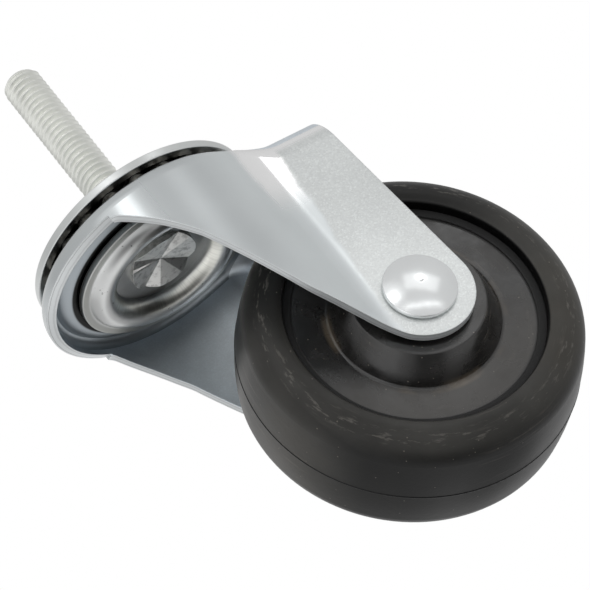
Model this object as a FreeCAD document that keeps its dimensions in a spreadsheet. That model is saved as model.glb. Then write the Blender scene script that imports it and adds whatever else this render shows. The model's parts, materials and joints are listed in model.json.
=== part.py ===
import FreeCAD, Part
import math
import os

import Sketcher
from FreeCAD import Placement, Rotation, Vector

# Swivel castor with a threaded stem: a zinc-plated stud staked through a double
# ball race, a pressed fork, a riveted axle and a rubber-tyred wheel.
# Frame, in millimetres: the origin is on the swivel axis at the top plate's
# mounting face, +Z runs up the stem, the wheel trails towards +X and its axle
# lies along Y.

os.makedirs("parts", exist_ok=True)
doc = FreeCAD.newDocument("stem_castor")
sheet = doc.addObject("Spreadsheet::Sheet", "Dims")

# Driving dimensions: name, size in millimetres or degrees, meaning
DRIVING = [
    ("wheel_diameter", 76.2, "over the crown of the tread"),
    ("tyre_width", 31.75, "over the sidewalls"),
    ("tread_radius", 70.0, "crown of the tread, across the wheel"),
    ("shoulder_radius", 6.3, "tread to sidewall"),
    ("lip_radius", 1.0, "sidewall to recess"),
    ("parting_radius", 0.4, "moulding line round the tread, across"),
    ("parting_height", 0.12, "moulding line above the tread"),
    ("tyre_height", 9.5, "tread to the hub's rim"),
    ("wheel_gap", 21.5, "mounting face to the tyre's crown"),
    ("axle_setback", 8.0, "start of the flat legs back to the axle"),
    ("stem_diameter", 9.525, "thread crests, three eighths inch"),
    ("stem_length", 50.8, "mounting face to stem tip"),
    ("stem_chamfer", 1.3, "at the tip"),
    ("neck_diameter", 10.0, "stem through the top plate"),
    ("shank_diameter", 12.7, "stem below the top plate"),
    ("stake_diameter", 16.6, "spread end under the lower cup"),
    ("stake_height", 1.6, "spread end, along the axis"),
    ("stake_punch_depth", 1.9, "centre of the star punch"),
    ("stake_groove_depth", 1.4, "groove ends of the star punch"),
    ("stake_groove_spread", 24.0, "degrees from a groove's floor to its edge"),
    ("stake_turn", 30.0, "angle of the first groove"),
    ("plate_inset", 2.55, "top plate's edge inside the fork's crown"),
    ("plate_sheet", 2.0, "top plate thickness"),
    ("plate_rim_drop", 2.0, "mounting face to rim"),
    ("upper_ball_diameter", 6.35, "quarter inch"),
    ("upper_race_inset", 7.7, "crown's edge to the upper ball centres"),
    ("lower_ball_diameter", 4.7625, "three sixteenths inch"),
    ("lower_race_inset", 6.3, "upper to lower ball centres"),
    ("race_gap", 0.06, "ball to groove"),
    ("crown_gap", 2.3, "top plate's rim to fork crown"),
    ("race_wall", 1.8, "sheet left under the upper groove"),
    ("lower_groove_depth", 0.5, "in the crown's underside"),
    ("cup_inset", 8.6, "cup's edge inside the fork's crown"),
    ("cup_sheet", 1.5, "lower race cup thickness"),
    ("cup_flange_drop", 2.4, "crown's underside to cup flange"),
    ("cup_floor_gap", 0.7, "crown's underside to cup floor"),
    ("cup_bend_radius", 0.8, "floor to trough"),
    ("fork_sheet", 2.0, "fork thickness"),
    ("tyre_clearance", 4.525, "tyre's side to a leg's inner face"),
    ("crown_overhang", 7.9, "front wall's outside beyond the legs' outer faces"),
    ("skirt_drop", 5.8, "crown top to the front wall's rim, inside"),
    ("skirt_rim_rise", 0.9, "slant of that rim, inside to outside"),
    ("crown_bend_radius", 4.1, "outside, roof to front wall"),
    ("leg_bend_radius", 9.5, "outside, roof to legs"),
    ("leg_bend_run", 5.0, "start of the flat legs to their full bend"),
    ("bend_relief", 0.01, "the legs' bend starts this far off wall and roof"),
    ("crown_hole_diameter", 15.2, "round the stem's shank"),
    ("flare_run", 5.09, "straight of the front wall before the flare"),
    ("flare_radius", 10.0, "leg to front wall, outside"),
    ("leg_tip_radius", 12.1, "round the axle"),
    ("back_edge_lean", 4.2, "degrees off upright"),
    ("skirt_corner_x", 13.8, "swivel axis forward to the skirt's corner"),
    ("skirt_corner_radius", 3.0, "skirt rim to leg edge"),
    ("brow_x", 6.75, "swivel axis forward to the first bend of the leg's front edge"),
    ("brow_drop", 19.9, "mounting face to that bend"),
    ("brow_radius", 60.0, "rounding of that bend"),
    ("knee_x", 1.5, "swivel axis forward to the second bend"),
    ("knee_drop", 27.2, "mounting face to that bend"),
    ("knee_radius", 12.0, "rounding of that bend"),
    ("hip_x", 10.4, "swivel axis back to the third bend"),
    ("hip_drop", 50.5, "mounting face to that bend"),
    ("hip_radius", 24.0, "rounding of that bend"),
    ("axle_diameter", 7.94, "rivet shank, five sixteenths inch"),
    ("rivet_head_diameter", 16.2, "domed head"),
    ("rivet_head_height", 3.1, "domed head"),
    ("rivet_head_edge", 0.8, "upright edge of the dome"),
    ("rivet_head_relief", 0.35, "head's edge off the leg"),
    ("rivet_tail_diameter", 12.6, "formed tail"),
    ("rivet_tail_height", 2.4, "formed tail"),
    ("sleeve_diameter", 11.1, "spacer tube between the legs"),
    ("shaft_fit", 0.03, "radial, rivet in its holes"),
    ("running_fit", 0.06, "radial, hub on the spacer tube"),
    ("hub_side_gap", 1.1, "hub end to leg"),
    ("hub_face_radius", 14.8, "flat end of the boss"),
    ("boss_foot_radius", 19.0, "foot of the boss"),
    ("web_depth", 3.475, "tyre's side to the web's face"),
    ("rim_step_height", 0.6, "rim ring above the web"),
    ("rim_ring_width", 1.9, "ring round the hub's rim"),
    ("tongue_height", 2.0, "hub's key in the tyre"),
    ("tongue_half_width", 4.0, "hub's key in the tyre"),
    ("boss_fillet", 0.8, "foot of the boss"),
    ("edge_rounding", 0.3, "broken edges of sheet and turned parts"),
]

# Worked-out sizes: name, formula in terms of the sizes above
DERIVED = [
    ("wheel_radius", "wheel_diameter / 2"),
    ("hub_rim_radius", "wheel_radius - tyre_height"),
    ("rim_step_radius", "hub_rim_radius - rim_ring_width"),
    ("axle_drop", "wheel_radius + wheel_gap"),
    ("axle_z", "-axle_drop"),
    ("web_half_width", "tyre_width / 2 - web_depth"),
    ("leg_inner", "tyre_width / 2 + tyre_clearance"),
    ("leg_half_width", "leg_inner + fork_sheet"),
    ("crown_radius", "leg_half_width + crown_overhang"),
    ("flare_centre_y", "leg_half_width + flare_radius"),
    ("flare_reach", "crown_radius + flare_radius"),
    ("leg_flat_start", "sqrt(flare_reach ^ 2 + flare_run ^ 2 - flare_centre_y ^ 2)"),
    ("leg_bend_start", "leg_flat_start + leg_bend_run"),
    ("swivel_offset", "leg_flat_start + axle_setback"),
    ("stem_radius", "stem_diameter / 2"),
    ("stem_tip_radius", "stem_radius - stem_chamfer"),
    ("stem_chamfer_z", "stem_length - stem_chamfer"),
    ("neck_radius", "neck_diameter / 2"),
    ("shank_radius", "shank_diameter / 2"),
    ("stake_radius", "stake_diameter / 2"),
    ("plate_radius", "crown_radius - plate_inset"),
    ("plate_hole_radius", "neck_radius + shaft_fit"),
    ("plate_under_z", "-plate_sheet"),
    ("rim_top_z", "-plate_rim_drop"),
    ("rim_under_z", "rim_top_z - plate_sheet"),
    ("upper_race_radius", "crown_radius - upper_race_inset"),
    ("lower_race_radius", "upper_race_radius - lower_race_inset"),
    ("upper_ball_radius", "upper_ball_diameter / 2"),
    ("upper_groove_radius", "upper_ball_radius + race_gap"),
    ("upper_ball_z", "plate_under_z - upper_groove_radius"),
    ("plate_arc_radius", "upper_groove_radius + plate_sheet"),
    ("plate_arc_end", "upper_race_radius + sqrt(plate_arc_radius ^ 2 - (rim_top_z - upper_ball_z) ^ 2)"),
    ("plate_groove_end", "upper_race_radius + sqrt(upper_groove_radius ^ 2 - (rim_under_z - upper_ball_z) ^ 2)"),
    ("crown_top_z", "rim_under_z - crown_gap"),
    ("crown_under_z", "crown_top_z - fork_sheet"),
    ("skirt_rim_z", "crown_top_z - skirt_drop"),
    ("ridge_radius", "upper_groove_radius + race_wall"),
    ("ridge_root_z", "crown_under_z + fork_sheet / 4"),
    ("ridge_half_width", "sqrt(ridge_radius ^ 2 - (upper_ball_z - ridge_root_z) ^ 2)"),
    ("ridge_inner", "upper_race_radius - ridge_half_width"),
    ("ridge_outer", "upper_race_radius + ridge_half_width"),
    ("lower_ball_radius", "lower_ball_diameter / 2"),
    ("lower_groove_radius", "lower_ball_radius + race_gap"),
    ("lower_ball_z", "crown_under_z + lower_groove_depth - lower_groove_radius"),
    ("cup_radius", "crown_radius - cup_inset"),
    ("cup_hole_radius", "shank_radius + shaft_fit"),
    ("cup_floor_top_z", "crown_under_z - cup_floor_gap"),
    ("cup_floor_z", "cup_floor_top_z - cup_sheet"),
    ("cup_flange_top_z", "crown_under_z - cup_flange_drop"),
    ("cup_flange_z", "cup_flange_top_z - cup_sheet"),
    ("cup_arc_radius", "lower_groove_radius + cup_sheet"),
    ("cup_wall_radius", "lower_race_radius - lower_groove_radius"),
    ("cup_wall_top_z", "cup_floor_top_z - cup_bend_radius"),
    ("cup_floor_radius", "cup_wall_radius - cup_bend_radius"),
    ("cup_groove_outer", "lower_race_radius + sqrt(lower_groove_radius ^ 2 - (cup_flange_top_z - lower_ball_z) ^ 2)"),
    ("cup_arc_inner", "lower_race_radius - sqrt(cup_arc_radius ^ 2 - (cup_floor_z - lower_ball_z) ^ 2)"),
    ("cup_arc_outer", "lower_race_radius + sqrt(cup_arc_radius ^ 2 - (cup_flange_z - lower_ball_z) ^ 2)"),
    ("stake_z", "cup_floor_z - stake_height"),
    ("crown_hole_radius", "crown_hole_diameter / 2"),
    ("inner_bend_radius", "crown_bend_radius - fork_sheet"),
    ("rim_inner_left", "fork_sheet - crown_radius"),
    ("rim_far_left", "-crown_radius - fork_sheet"),
    ("rim_far_top", "skirt_rim_z + 2 * skirt_rim_rise"),
    ("rim_below", "skirt_rim_z - skirt_rim_rise"),
    ("rim_end_x", "skirt_corner_x + skirt_corner_radius / 3"),
    ("skirt_corner_left", "-skirt_corner_x"),
    ("brow_left", "-brow_x"),
    ("brow_z", "-brow_drop"),
    ("knee_left", "-knee_x"),
    ("knee_z", "-knee_drop"),
    ("hip_z", "-hip_drop"),
    ("axle_radius", "axle_diameter / 2"),
    ("axle_hole_radius", "axle_radius + shaft_fit"),
    ("rivet_head_radius", "rivet_head_diameter / 2"),
    ("rivet_head_base", "leg_half_width + rivet_head_relief"),
    ("rivet_head_shoulder", "rivet_head_base + rivet_head_edge"),
    ("rivet_head_top", "leg_half_width + rivet_head_height"),
    ("rivet_head_seat", "rivet_head_radius - 3 * rivet_head_relief"),
    ("rivet_dome_rise", "rivet_head_top - rivet_head_shoulder"),
    ("rivet_dome_radius", "(rivet_head_radius ^ 2 + rivet_dome_rise ^ 2) / (2 * rivet_dome_rise)"),
    ("rivet_tail_radius", "rivet_tail_diameter / 2"),
    ("rivet_tail_base", "-leg_half_width"),
    ("rivet_tail_top", "rivet_tail_base - rivet_tail_height"),
    ("rivet_tail_edge", "rivet_tail_base - rivet_tail_height / 3"),
    ("rivet_tail_dome", "(rivet_tail_radius ^ 2 + (rivet_tail_edge - rivet_tail_top) ^ 2)"
                        " / (2 * (rivet_tail_edge - rivet_tail_top))"),
    ("sleeve_radius", "sleeve_diameter / 2"),
    ("sleeve_far", "-leg_inner"),
    ("hub_bore_radius", "sleeve_radius + running_fit"),
    ("hub_half_length", "leg_inner - hub_side_gap"),
    ("hub_far", "-hub_half_length"),
    ("web_far", "-web_half_width"),
    ("rim_half_width", "web_half_width + rim_step_height"),
    ("rim_far", "-rim_half_width"),
    ("tongue_radius", "hub_rim_radius + tongue_height"),
    ("tongue_far", "-tongue_half_width"),
    ("shoulder_z", "tyre_width / 2 - shoulder_radius"),
    ("tread_reach", "tread_radius - shoulder_radius"),
    ("tread_fall", "sqrt(tread_reach ^ 2 - shoulder_z ^ 2)"),
    ("shoulder_centre", "wheel_radius - tread_radius + tread_fall"),
    ("tread_end_z", "shoulder_z * tread_radius / tread_reach"),
    ("tread_end_radius", "wheel_radius - tread_radius + tread_fall * tread_radius / tread_reach"),
    ("parting_centre", "wheel_radius + parting_height - parting_radius"),
    ("lip_centre", "hub_rim_radius + lip_radius"),
    ("lip_reach", "shoulder_radius - lip_radius"),
    ("lip_fall", "sqrt(lip_reach ^ 2 - (lip_centre - shoulder_centre) ^ 2)"),
    ("lip_z", "shoulder_z + lip_fall"),
    ("lip_end_z", "shoulder_z + lip_fall * shoulder_radius / lip_reach"),
    ("lip_end_radius", "shoulder_centre + (lip_centre - shoulder_centre) * shoulder_radius / lip_reach"),
    ("tread_end_far", "-tread_end_z"),
    ("lip_far", "-lip_z"),
    ("lip_end_far", "-lip_end_z"),
]


def fill_sheet():
    """Write each size with its alias: driving sizes as plain numbers, then the formulas."""
    row = 0
    for name, size, meaning in DRIVING:
        row += 1
        sheet.set(f"A{row}", name)
        sheet.set(f"B{row}", str(size))
        sheet.set(f"C{row}", meaning)
        sheet.setAlias(f"B{row}", name)
    for name, formula in DERIVED:
        row += 1
        sheet.set(f"A{row}", name)
        sheet.set(f"B{row}", "=" + formula)
        sheet.setAlias(f"B{row}", name)
    doc.recompute()


fill_sheet()


def dim(name):
    """The size of this name, as the sheet has it now."""
    return float(sheet.get(name))


def new_body(label):
    """An empty body whose label names the piece."""
    body = doc.addObject("PartDesign::Body", label)
    body.Label = label
    return body


def new_sketch(body, name, role, offset=None):
    """A sketch on one of the body's own planes, lifted along the plane's normal by a named size."""
    plane = next(item for item in body.Origin.OriginFeatures if item.Role == role)
    sketch = body.newObject("Sketcher::SketchObject", name)
    sketch.AttachmentSupport = [(plane, "")]
    sketch.MapMode = "FlatFace"
    if offset:
        sketch.setExpression("AttachmentOffset.Base.z", f"Dims.{offset}")
    return sketch


def drive(sketch, constraint, expression):
    """Add a constraint and bind its value to the sheet."""
    index = sketch.addConstraint(constraint)
    sketch.setExpression(f"Constraints[{index}]", expression)


def pin_point(sketch, geometry, position, across, up):
    """Fix a vertex at two named sizes, across and up; 0 puts it on an axis."""
    if across == 0:
        sketch.addConstraint(Sketcher.Constraint("PointOnObject", geometry, position, -2))
    else:
        drive(sketch, Sketcher.Constraint("DistanceX", geometry, position, dim(across)), f"Dims.{across}")
    if up == 0:
        sketch.addConstraint(Sketcher.Constraint("PointOnObject", geometry, position, -1))
    else:
        drive(sketch, Sketcher.Constraint("DistanceY", geometry, position, dim(up)), f"Dims.{up}")


def at(across, up):
    """A point in a sketch from two named sizes."""
    return Vector(dim(across) if across else 0, dim(up) if up else 0, 0)


def arc_between(start, end, radius, bulge):
    """The short arc from start to end; bulge 1 keeps the centre left of the way, -1 right."""
    chord = end - start
    middle = (start + end) / 2
    rise = math.sqrt(max(radius ** 2 - (chord.Length / 2) ** 2, 0))
    left = Vector(-chord.y, chord.x, 0).normalize()
    centre = middle + left * rise * bulge
    first = math.atan2(start.y - centre.y, start.x - centre.x)
    last = math.atan2(end.y - centre.y, end.x - centre.x)
    if bulge < 0:
        first, last = last, first
    if last < first:
        last += 2 * math.pi
    return Part.ArcOfCircle(Part.Circle(centre, Vector(0, 0, 1), radius), first, last)


def profile(sketch, corners):
    """Close an outline through named corners.

    A corner is (across, up), or (across, up, radius, bulge) where an arc leaves it.
    """
    count = len(corners)
    ends = []
    for index, corner in enumerate(corners):
        following = corners[(index + 1) % count]
        start, end = at(*corner[:2]), at(*following[:2])
        if len(corner) == 2:
            geometry = sketch.addGeometry(Part.LineSegment(start, end), False)
            ends.append((geometry, 1, 2))
        else:
            arc = arc_between(start, end, dim(corner[2]), corner[3])
            geometry = sketch.addGeometry(arc, False)
            drive(sketch, Sketcher.Constraint("Radius", geometry, arc.Radius), f"Dims.{corner[2]}")
            ends.append((geometry, 1, 2) if corner[3] > 0 else (geometry, 2, 1))
    for index, corner in enumerate(corners):
        before = ends[index - 1]
        geometry, start_position, end_position = ends[index]
        sketch.addConstraint(Sketcher.Constraint("Coincident", before[0], before[2], geometry, start_position))
        pin_point(sketch, geometry, start_position, corner[0], corner[1])


def circle(sketch, across, up, radius):
    """A circle of a named radius about a named point."""
    geometry = sketch.addGeometry(Part.Circle(at(across, up), Vector(0, 0, 1), dim(radius)), False)
    drive(sketch, Sketcher.Constraint("Radius", geometry, dim(radius)), f"Dims.{radius}")
    pin_point(sketch, geometry, 3, across, up)


def turn(body, name, sketch):
    """Turn a section once round the sketch's upright axis."""
    turned = body.newObject("PartDesign::Revolution", name)
    turned.Profile = sketch
    turned.ReferenceAxis = (sketch, ["V_Axis"])
    turned.Angle = 360
    doc.recompute()
    return turned


def combine(kind, label, base, tool):
    """A cut or a fusion of two pieces, under its own label."""
    result = doc.addObject(kind, label)
    result.Label = label
    result.Base = base
    result.Tool = tool
    before = base.Shape.Volume
    doc.recompute()
    if abs(result.Shape.Volume - before) < dim("race_gap") ** 3:
        raise ValueError(f"{label} changed nothing")
    return result


def round_edges(body, name, base, chosen, radius):
    """Round the chosen edges of a feature by a named radius."""
    names = [f"Edge{index}" for index, edge in enumerate(base.Shape.Edges, 1) if chosen(edge)]
    fillet = body.newObject("PartDesign::Fillet", name)
    fillet.Base = (base, names)
    fillet.Radius = dim(radius)
    fillet.setExpression("Radius", f"Dims.{radius}")
    doc.recompute()
    return fillet


def near(value, target):
    """Whether two lengths are the same to a thousandth of a millimetre."""
    return abs(value - target) < 0.001


def ring_at(radius, height):
    """A test for a full circular edge of one radius at one height."""
    def chosen(edge):
        if edge.Degenerated or edge.Curve.TypeId != "Part::GeomCircle":
            return False
        return near(edge.Curve.Radius, radius) and near(edge.Curve.Center.z, height)
    return chosen


def lay_on_axle(piece):
    """Set a piece that was drawn about Z on the axle, its +Z end towards -Y."""
    piece.Placement = Placement(Vector(dim("swivel_offset"), 0, dim("axle_z")), Rotation(Vector(1, 0, 0), 90))
    piece.setExpression("Placement.Base.x", "Dims.swivel_offset")
    piece.setExpression("Placement.Base.z", "Dims.axle_z")


def turned_piece(label, corners):
    """A piece turned from one section in the XZ plane."""
    body = new_body(label)
    section = new_sketch(body, f"{label}_section", "XZ_Plane")
    profile(section, corners)
    turn(body, f"{label}_turned", section)
    return body


def star_punch():
    """The solid that the stake's punch drives out: grooves between petals that dip to the centre."""
    reach = dim("stake_radius") + dim("stake_height")
    root = dim("stake_z")
    centre = Vector(0, 0, root + dim("stake_punch_depth"))
    below = root - dim("stake_height")
    groove_count = 4
    spread = dim("stake_groove_spread")
    rim = []
    for groove in range(groove_count):
        for turned, depth in ((-spread, 0), (0, dim("stake_groove_depth")), (spread, 0)):
            angle = math.radians(dim("stake_turn") + groove * 360 / groove_count + turned)
            rim.append(Vector(reach * math.cos(angle), reach * math.sin(angle), root + depth))
    floor = [Vector(point.x, point.y, below) for point in rim]
    faces = [Part.Face(Part.makePolygon(floor + floor[:1]))]
    for index, point in enumerate(rim):
        following = (index + 1) % len(rim)
        faces.append(Part.Face(Part.makePolygon([centre, point, rim[following], centre])))
        side = [floor[index], floor[following], rim[following], point, floor[index]]
        faces.append(Part.Face(Part.makePolygon(side)))
    punch = Part.makeSolid(Part.makeShell(faces))
    if punch.Volume < 0:
        punch.reverse()
    return punch


def make_stem():
    """Stud: thread blank and tip chamfer, shank through the races, end spread by a star punch."""
    blank = turned_piece("stem_blank", [
        (0, "stem_length"),
        (0, "stake_z"),
        ("stake_radius", "stake_z"),
        ("stake_radius", "cup_floor_z"),
        ("shank_radius", "cup_floor_z"),
        ("shank_radius", "plate_under_z"),
        ("neck_radius", "plate_under_z"),
        ("neck_radius", 0),
        ("stem_radius", 0),
        ("stem_radius", "stem_chamfer_z"),
        ("stem_tip_radius", "stem_length"),
    ])
    punch = doc.addObject("Part::Feature", "stake_punch")
    punch.Shape = star_punch()
    stem = doc.addObject("Part::Cut", "threaded_stem")
    stem.Label = "threaded_stem"
    stem.Base = blank
    stem.Tool = punch
    return stem


def make_top_plate():
    """Pressed race plate: raised mounting face, round shoulder over the balls, flat rim."""
    plate = turned_piece("top_race_plate", [
        ("plate_hole_radius", 0),
        ("plate_hole_radius", "plate_under_z"),
        ("upper_race_radius", "plate_under_z", "upper_groove_radius", -1),
        ("plate_groove_end", "rim_under_z"),
        ("plate_radius", "rim_under_z"),
        ("plate_radius", "rim_top_z"),
        ("plate_arc_end", "rim_top_z", "plate_arc_radius", 1),
        ("upper_race_radius", 0),
    ])
    outer = dim("plate_radius")
    top, under = ring_at(outer, dim("rim_top_z")), ring_at(outer, dim("rim_under_z"))
    round_edges(plate, "plate_edge", plate.Tip, lambda edge: top(edge) or under(edge), "edge_rounding")
    return plate


def make_cup():
    """Lower race cup: floor under the crown, round trough for the balls, flat flange."""
    cup = turned_piece("lower_race_cup", [
        ("cup_hole_radius", "cup_floor_top_z"),
        ("cup_hole_radius", "cup_floor_z"),
        ("cup_arc_inner", "cup_floor_z", "cup_arc_radius", 1),
        ("cup_arc_outer", "cup_flange_z"),
        ("cup_radius", "cup_flange_z"),
        ("cup_radius", "cup_flange_top_z"),
        ("cup_groove_outer", "cup_flange_top_z", "lower_groove_radius", -1),
        ("cup_wall_radius", "lower_ball_z"),
        ("cup_wall_radius", "cup_wall_top_z", "cup_bend_radius", 1),
        ("cup_floor_radius", "cup_floor_top_z"),
    ])
    outer = dim("cup_radius")
    lower = ring_at(outer, dim("cup_flange_z"))
    round_edges(cup, "cup_edge", cup.Tip, lower, "edge_rounding")
    return cup


def make_balls(prefix, radius_name, race_name, height_name):
    """A full complement of balls round a race, as many as fit side by side."""
    radius, race = dim(radius_name), dim(race_name)
    spacing = 2 * radius + dim("race_gap") / 2
    count = int(math.pi / math.asin(spacing / (2 * race)))
    balls = []
    for index in range(count):
        label = f"{prefix}_{index + 1:02d}"
        ball = doc.addObject("Part::Sphere", label)
        ball.Label = label
        ball.setExpression("Radius", f"Dims.{radius_name}")
        turn_angle = index * 360 / count
        ball.Placement = Placement(Vector(race, 0, dim(height_name)), Rotation())
        ball.setExpression("Placement.Base.x", f"Dims.{race_name} * cos({turn_angle} deg)")
        ball.setExpression("Placement.Base.y", f"Dims.{race_name} * sin({turn_angle} deg)")
        ball.setExpression("Placement.Base.z", f"Dims.{height_name}")
        balls.append(ball)
    return balls


def flare_angle():
    """Angle of the plan's nose arc, from +X to where a flare's tangent line leaves it."""
    across, up = dim("leg_flat_start"), dim("flare_centre_y")
    return math.atan2(up, across) + math.acos(dim("flare_reach") / math.hypot(across, up))


def plan_outline(sketch, inset):
    """Plan of the fork: round nose, flared blends and two flat legs, drawn in by inset.

    inset is 0 for the outer skin, or the name of the sheet's thickness for the inner one, which
    also runs further back.
    """
    step = dim(inset) if inset else 0
    minus = f" - Dims.{inset}" if inset else ""
    plus = f" + Dims.{inset}" if inset else ""
    nose = dim("crown_radius") - step
    flare = dim("flare_radius") + step
    leg = dim("leg_half_width") - step
    start = dim("leg_flat_start")
    flare_up = dim("flare_centre_y")
    angle = flare_angle()
    back = 2 * dim("swivel_offset") + 2 * step
    back_text = "2 * Dims.swivel_offset" + (f" + 2 * Dims.{inset}" if inset else "")

    nose_arc = Part.ArcOfCircle(Part.Circle(Vector(), Vector(0, 0, 1), nose), angle, 2 * math.pi - angle)
    sketch.addGeometry(nose_arc, False)
    for side in (1, -1):
        normal = Vector(math.cos(angle), side * math.sin(angle), 0)
        centre = Vector(start, side * flare_up, 0)
        tangent = centre - normal * flare
        first, last = -math.pi + angle, -math.pi / 2
        if side < 0:
            first, last = math.pi / 2, math.pi - angle
        flare_arc = Part.ArcOfCircle(Part.Circle(centre, Vector(0, 0, 1), flare), first, last)
        sketch.addGeometry(Part.LineSegment(normal * nose, tangent), False)
        sketch.addGeometry(flare_arc, False)
        sketch.addGeometry(Part.LineSegment(Vector(start, side * leg, 0), Vector(back, side * leg, 0)), False)
    sketch.addGeometry(Part.LineSegment(Vector(back, leg, 0), Vector(back, -leg, 0)), False)

    sketch.addConstraint(Sketcher.Constraint("Coincident", 0, 3, -1, 1))
    drive(sketch, Sketcher.Constraint("Radius", 0, nose), "Dims.crown_radius" + minus)
    for side, first in ((1, 1), (-1, 4)):
        line, arc, flat = first, first + 1, first + 2
        nose_end, arc_start, arc_end = (1, 1, 2) if side > 0 else (2, 2, 1)
        sketch.addConstraint(Sketcher.Constraint("Tangent", 0, nose_end, line, 1))
        sketch.addConstraint(Sketcher.Constraint("Tangent", line, 2, arc, arc_start))
        sketch.addConstraint(Sketcher.Constraint("Tangent", arc, arc_end, flat, 1))
        drive(sketch, Sketcher.Constraint("Radius", arc, flare), "Dims.flare_radius" + plus)
        sketch.addConstraint(Sketcher.Constraint("Horizontal", flat))
        sign = "" if side > 0 else "-"
        drive(sketch, Sketcher.Constraint("DistanceY", flat, 2, side * leg), f"{sign}(Dims.leg_half_width{minus})")
        drive(sketch, Sketcher.Constraint("DistanceX", flat, 1, start), "Dims.leg_flat_start")
        sketch.addConstraint(Sketcher.Constraint("Coincident", flat, 2, 7, 1 if side > 0 else 2))
    sketch.addConstraint(Sketcher.Constraint("Vertical", 7))
    drive(sketch, Sketcher.Constraint("DistanceX", 7, 1, back), back_text)


def plan_block(label, height, inset, bend):
    """A solid on the fork's plan, from a named height down past the leg tips, its roof's edge bent."""
    body = new_body(label)
    plan = new_sketch(body, f"{label}_plan", "XY_Plane", height)
    plan_outline(plan, inset)
    block = body.newObject("PartDesign::Pad", f"{label}_pad")
    block.Profile = plan
    block.Reversed = True
    block.setExpression("Length", "Dims.axle_drop + Dims.leg_tip_radius")
    doc.recompute()
    level, back = dim(height), block.Shape.BoundBox.XMax

    def roof_edge(edge):
        flat = near(edge.BoundBox.ZMin, level) and near(edge.BoundBox.ZMax, level)
        return flat and not near(edge.BoundBox.XMin, back)
    round_edges(body, f"{label}_bend", block, roof_edge, bend)
    return body


def corner_section(x, wall, level, radius):
    """What lies outside a bend of this radius between a wall and the roof, cut across the leg."""
    inner, lower = wall - radius, level - radius
    reach = radius + dim("bend_relief")
    slant = reach * math.sqrt(0.5)
    side, top = inner + reach, lower + reach
    far, high = side + dim("fork_sheet"), top + dim("fork_sheet")
    bend = Part.Arc(Vector(x, inner, top), Vector(x, inner + slant, lower + slant), Vector(x, side, lower))
    corners = [Vector(x, side, lower), Vector(x, far, lower), Vector(x, far, high),
               Vector(x, inner, high), Vector(x, inner, top)]
    sides = [Part.makeLine(first, second) for first, second in zip(corners[:-1], corners[1:])]
    return Part.Wire([bend.toShape()] + sides)


def leg_corners(label, height, inset):
    """What the legs' wider bend takes off a block's roof: it grows over the flare, then runs on."""
    step = dim(inset) if inset else 0
    level, leg, flare = dim(height), dim("leg_half_width") - step, dim("flare_radius") + step
    tight, wide = dim("crown_bend_radius") - step, dim("leg_bend_radius") - step
    first = dim("leg_flat_start") - flare * math.cos(flare_angle())
    last, back = dim("leg_bend_start"), 2 * dim("swivel_offset") + 3 * dim("fork_sheet")
    sections = []
    count = 10
    for index in range(count + 1):
        share = index / count
        x = first + (last - first) * share
        run = max(dim("leg_flat_start") - x, 0)
        wall = leg + flare - math.sqrt(flare ** 2 - run ** 2)
        growth = share * share * (3 - 2 * share)
        sections.append(corner_section(x, wall, level, tight + (wide - tight) * growth))
    grown = Part.makeLoft(sections, True, False)
    straight = Part.makeLoft([sections[-1], corner_section(back, leg, level, wide)], True, True)
    one_leg = grown.fuse(straight)
    corners = doc.addObject("Part::Feature", label)
    corners.Shape = Part.makeCompound([one_leg, one_leg.mirror(Vector(), Vector(0, 1, 0))])
    return corners


def rounded(before, corner, after, radius):
    """Tangent points and arc that round a corner between two straight runs."""
    back, ahead = (before - corner).normalize(), (after - corner).normalize()
    half = back.getAngle(ahead) / 2
    reach = radius / math.tan(half)
    middle = (back + ahead).normalize()
    centre = corner + middle * radius / math.sin(half)
    entry, leave = corner + back * reach, corner + ahead * reach
    anticlockwise = (corner - before).cross(after - corner).z > 0
    first, last = (entry, leave) if anticlockwise else (leave, entry)
    angles = [math.atan2(point.y - centre.y, point.x - centre.x) for point in (first, last)]
    if angles[1] < angles[0]:
        angles[1] += 2 * math.pi
    arc = Part.ArcOfCircle(Part.Circle(centre, Vector(0, 0, 1), radius), *angles)
    return entry, leave, arc, anticlockwise


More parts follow.
